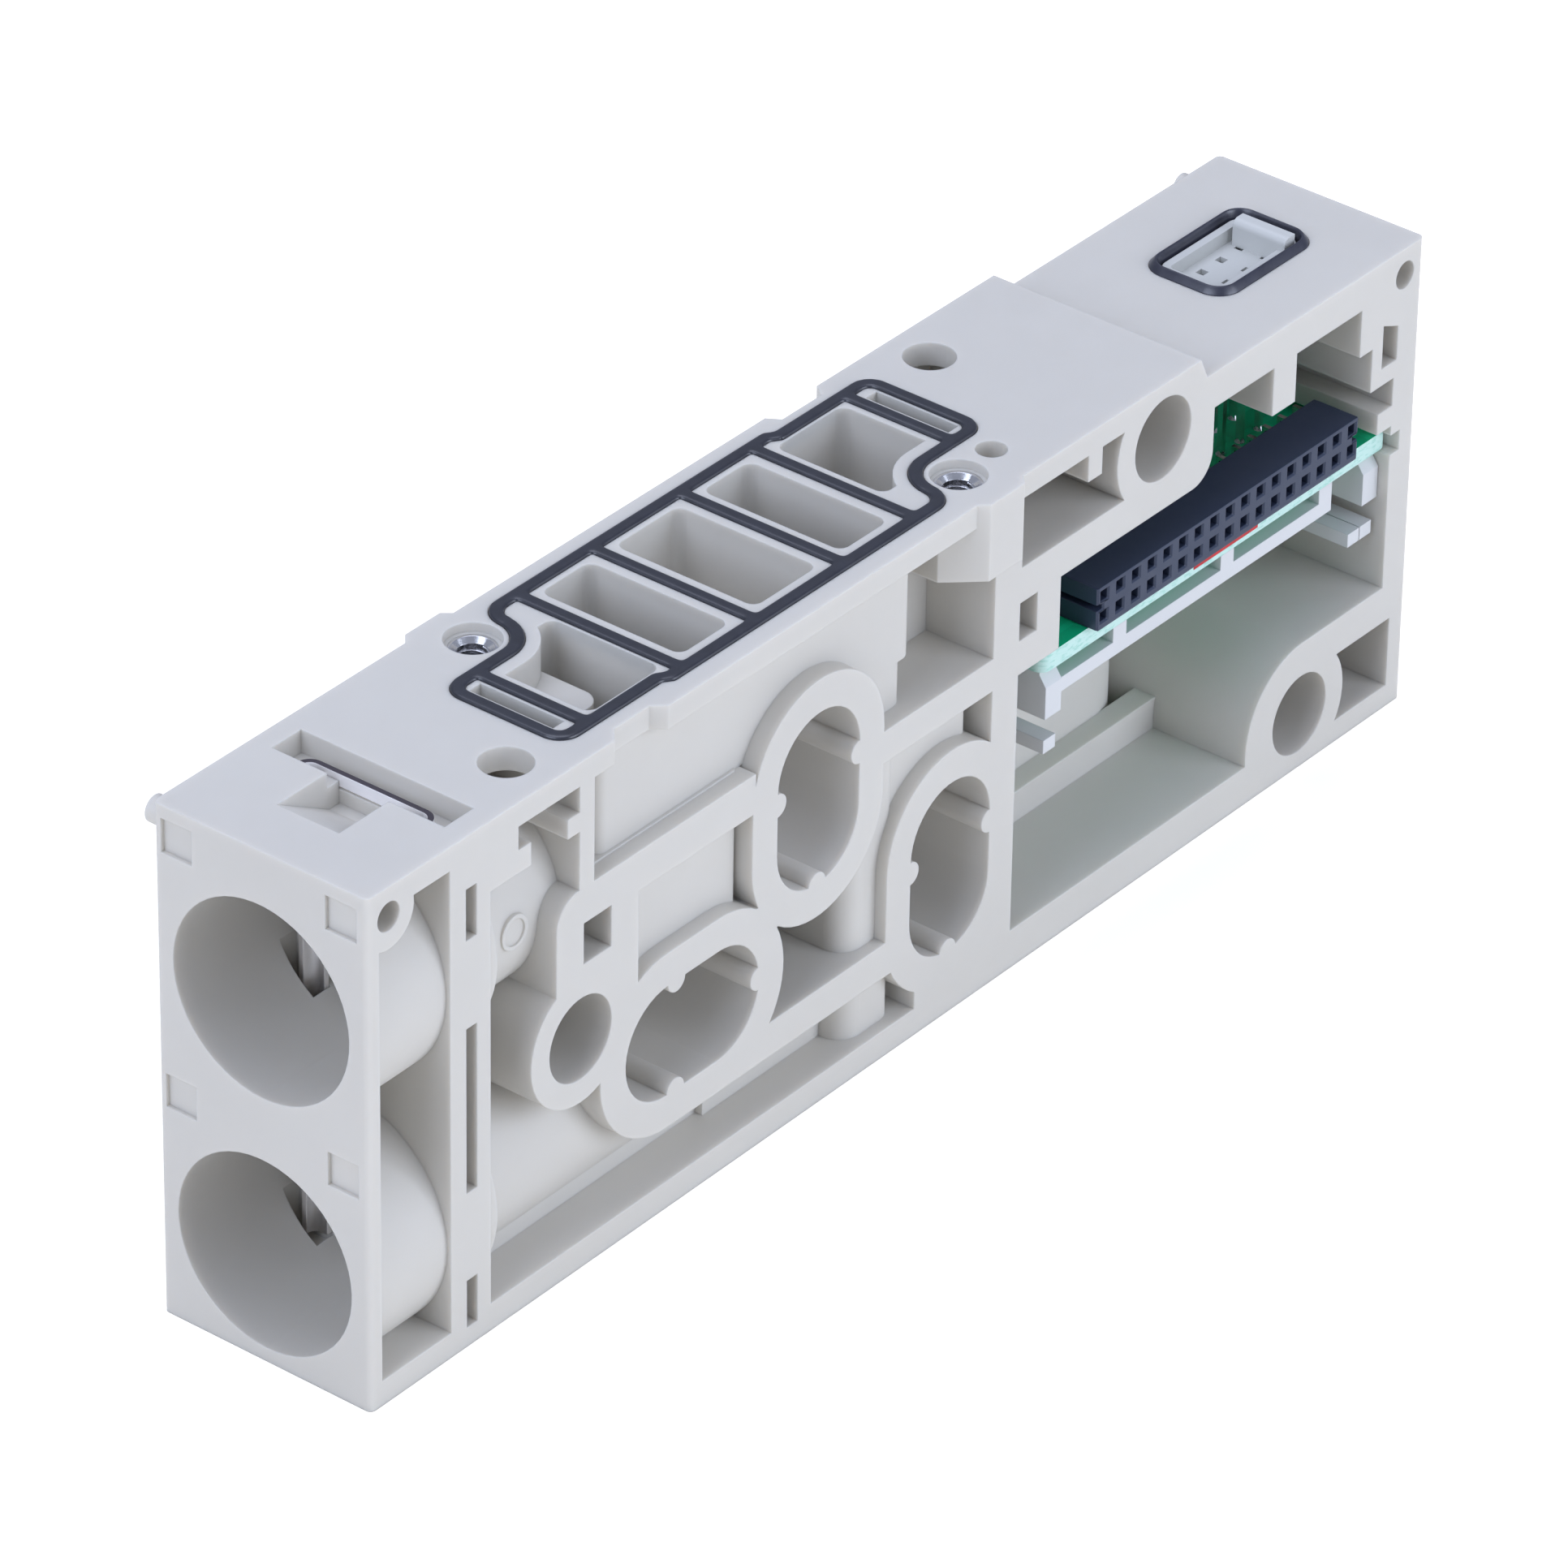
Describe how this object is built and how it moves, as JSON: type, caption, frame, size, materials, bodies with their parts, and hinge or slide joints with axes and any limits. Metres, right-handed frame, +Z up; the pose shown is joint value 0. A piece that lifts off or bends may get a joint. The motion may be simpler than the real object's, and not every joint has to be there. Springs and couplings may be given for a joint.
{
  "type": "valve manifold block",
  "caption": "Stackable pneumatic valve manifold block with two round ports, ribbed open side, gasketed valve deck, spring clip and a board with stacking connectors.",
  "frame": {"origin": "bottom centre of the whole block", "axes": "+X from the port face to the rear, +Y from the ribbed side to the closed side, +Z up"},
  "size_m": [0.1266, 0.0242, 0.0446],
  "materials": {
    "housing_plastic": "fine matt moulded surface",
    "spring_steel": "bright rolled",
    "black_rubber": "satin",
    "insert_steel": "turned",
    "board_green": "solder resist",
    "connector_dark": "moulded",
    "contact_metal": "plated",
    "carrier_white": "moulded",
    "plug_natural": "unpigmented moulding"
  },
  "bodies": {
    "block": {"body": "housing_plastic", "valve_gasket": "black_rubber", "plug_gasket": "black_rubber", "thread_inserts": "insert_steel", "circuit_board": "board_green", "stack_socket": "connector_dark", "socket_contacts": "contact_metal", "stack_header": "connector_dark", "header_pins": "contact_metal", "board_carrier": "carrier_white", "plug_connector": "plug_natural", "plug_contacts": "contact_metal", "supply_seal": "black_rubber", "front_exhaust_seal": "black_rubber", "rear_exhaust_seal": "black_rubber", "pilot_seals": "black_rubber"},
    "clip": {"retaining_clip": "spring_steel"}
  },
  "joints": [
    {"name": "clip_pull", "type": "slide", "parent": "block", "child": "clip", "axis": [0, 0, 1], "range_m": [0, 0.04]}
  ]
}
